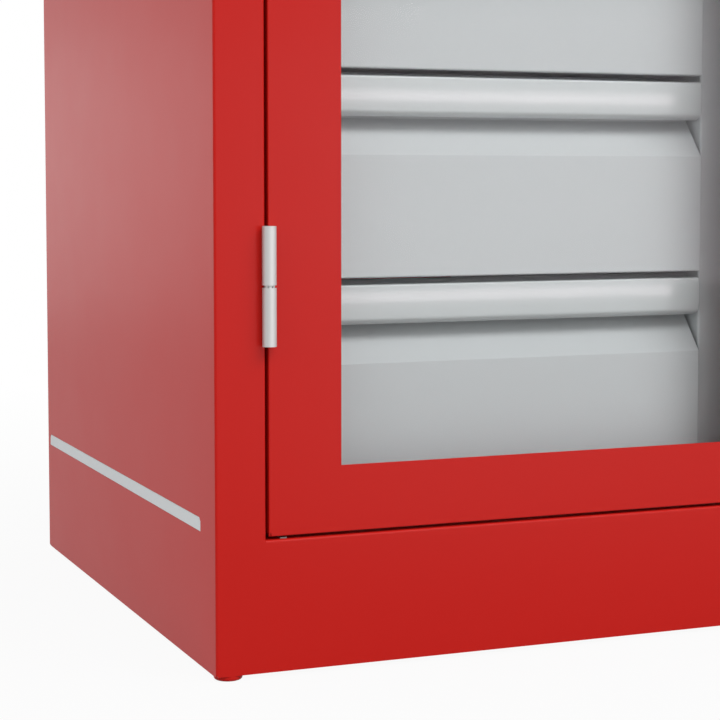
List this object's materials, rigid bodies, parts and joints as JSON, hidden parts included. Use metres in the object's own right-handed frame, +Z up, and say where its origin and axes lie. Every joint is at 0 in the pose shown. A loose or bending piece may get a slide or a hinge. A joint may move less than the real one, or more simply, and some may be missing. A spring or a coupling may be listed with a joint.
{
  "type": "drawer cabinet",
  "caption": "Free-standing sheet-steel cabinet with a glazed hinged door, turn-grip rod lock and full-width drawers with bulged grip handles on telescopic runners.",
  "frame": {"origin": "on the floor, under the middle of the footprint including the lock grip", "axes": "+Z up, the door faces -Y, +X to the right seen from the front"},
  "size_m": [0.6, 0.636, 0.9243],
  "materials": {
    "red_paint": "fine-textured red powder coat",
    "grey_paint": "smooth light grey powder coat",
    "handle_grey": "satin light grey coated profile",
    "runner_steel": "zinc-plated steel",
    "hinge_steel": "satin steel, finely turned",
    "rod_steel": "bright drawn steel",
    "black_plastic": "fine-grained black plastic",
    "white_plastic": "white nylon",
    "seal_rubber": "matt black seal",
    "clear_pane": "clear acrylic"
  },
  "bodies": {
    "carcass": {"left_side_panel": "red_paint", "right_side_panel": "red_paint", "rear_panel": "red_paint", "top_panel": "red_paint", "floor_tray": "grey_paint", "front_plinth": "red_paint", "header_rail": "red_paint", "left_cheek": "grey_paint", "right_cheek": "grey_paint", "corner_plates": "red_paint", "feet": "red_paint", "door_glides": "white_plastic", "cabinet_rails": "runner_steel", "hinge_lower_barrels": "hinge_steel", "hinge_pins": "hinge_steel", "hinge_rings": "hinge_steel"},
    "door": {"door_panel": "red_paint", "window_pane": "clear_pane", "pane_seal": "seal_rubber", "pane_retainers": "grey_paint", "hinge_upper_barrels": "hinge_steel", "lock_case": "rod_steel", "lock_rosette": "black_plastic", "rod_guides": "black_plastic"},
    "lock_grip": {"lock_grip": "black_plastic"},
    "key_plug": {"key_plug": "rod_steel"},
    "upper_rod": {"upper_rod": "rod_steel"},
    "lower_rod": {"lower_rod": "rod_steel"},
    "drawer_1": {"drawer_front_1": "grey_paint", "drawer_box_1": "grey_paint", "drawer_handle_1": "handle_grey", "drawer_rails_1": "runner_steel"},
    "drawer_2": {"drawer_front_2": "grey_paint", "drawer_box_2": "grey_paint", "drawer_handle_2": "handle_grey", "drawer_rails_2": "runner_steel"},
    "drawer_3": {"drawer_front_3": "grey_paint", "drawer_box_3": "grey_paint", "drawer_handle_3": "handle_grey", "drawer_rails_3": "runner_steel"},
    "drawer_4": {"drawer_front_4": "grey_paint", "drawer_box_4": "grey_paint", "drawer_handle_4": "handle_grey", "drawer_rails_4": "runner_steel"},
    "middle_rails_1": {"middle_rails_1": "runner_steel"},
    "middle_rails_2": {"middle_rails_2": "runner_steel"},
    "middle_rails_3": {"middle_rails_3": "runner_steel"},
    "middle_rails_4": {"middle_rails_4": "runner_steel"}
  },
  "joints": [
    {"name": "door_swing", "type": "hinge", "parent": "carcass", "child": "door", "pos_m": [-0.25515, -0.2982, 0.3244], "axis": [0, 0, -1], "range_deg": [0, 180]},
    {"name": "lock_turn", "type": "hinge", "parent": "door", "child": "lock_grip", "pos_m": [0.2338, -0.292, 0.49625], "axis": [0, 1, 0], "range_deg": [0, 90]},
    {"name": "key_turn", "type": "hinge", "parent": "lock_grip", "child": "key_plug", "pos_m": [0.2338, -0.318, 0.49625], "axis": [0, 1, 0], "range_deg": [0, 90]},
    {"name": "upper_rod_slide", "type": "slide", "parent": "door", "child": "upper_rod", "axis": [0, 0, 1], "range_m": [0, 0.014]},
    {"name": "lower_rod_slide", "type": "slide", "parent": "door", "child": "lower_rod", "axis": [0, 0, -1], "range_m": [0, 0.014]},
    {"name": "drawer_1_slide", "type": "slide", "parent": "carcass", "child": "drawer_1", "axis": [0, -1, 0], "range_m": [0, 0.4]},
    {"name": "drawer_2_slide", "type": "slide", "parent": "carcass", "child": "drawer_2", "axis": [0, -1, 0], "range_m": [0, 0.4]},
    {"name": "drawer_3_slide", "type": "slide", "parent": "carcass", "child": "drawer_3", "axis": [0, -1, 0], "range_m": [0, 0.4]},
    {"name": "drawer_4_slide", "type": "slide", "parent": "carcass", "child": "drawer_4", "axis": [0, -1, 0], "range_m": [0, 0.4]},
    {"name": "middle_rails_1_slide", "type": "slide", "parent": "carcass", "child": "middle_rails_1", "axis": [0, -1, 0], "range_m": [0, 0.2]},
    {"name": "middle_rails_2_slide", "type": "slide", "parent": "carcass", "child": "middle_rails_2", "axis": [0, -1, 0], "range_m": [0, 0.2]},
    {"name": "middle_rails_3_slide", "type": "slide", "parent": "carcass", "child": "middle_rails_3", "axis": [0, -1, 0], "range_m": [0, 0.2]},
    {"name": "middle_rails_4_slide", "type": "slide", "parent": "carcass", "child": "middle_rails_4", "axis": [0, -1, 0], "range_m": [0, 0.2]}
  ],
  "couplings": [
    {"joint": "lock_turn", "follows": "upper_rod_slide", "rad_per_m": 112.2},
    {"joint": "lower_rod_slide", "follows": "upper_rod_slide", "ratio": 1},
    {"joint": "drawer_1_slide", "follows": "door_swing", "m_per_rad": 0.12732},
    {"joint": "drawer_2_slide", "follows": "door_swing", "m_per_rad": 0.12732},
    {"joint": "drawer_3_slide", "follows": "door_swing", "m_per_rad": 0.12732},
    {"joint": "drawer_4_slide", "follows": "door_swing", "m_per_rad": 0.12732},
    {"joint": "middle_rails_1_slide", "follows": "door_swing", "m_per_rad": 0.063661},
    {"joint": "middle_rails_2_slide", "follows": "door_swing", "m_per_rad": 0.063661},
    {"joint": "middle_rails_3_slide", "follows": "door_swing", "m_per_rad": 0.063661},
    {"joint": "middle_rails_4_slide", "follows": "door_swing", "m_per_rad": 0.063661}
  ]
}
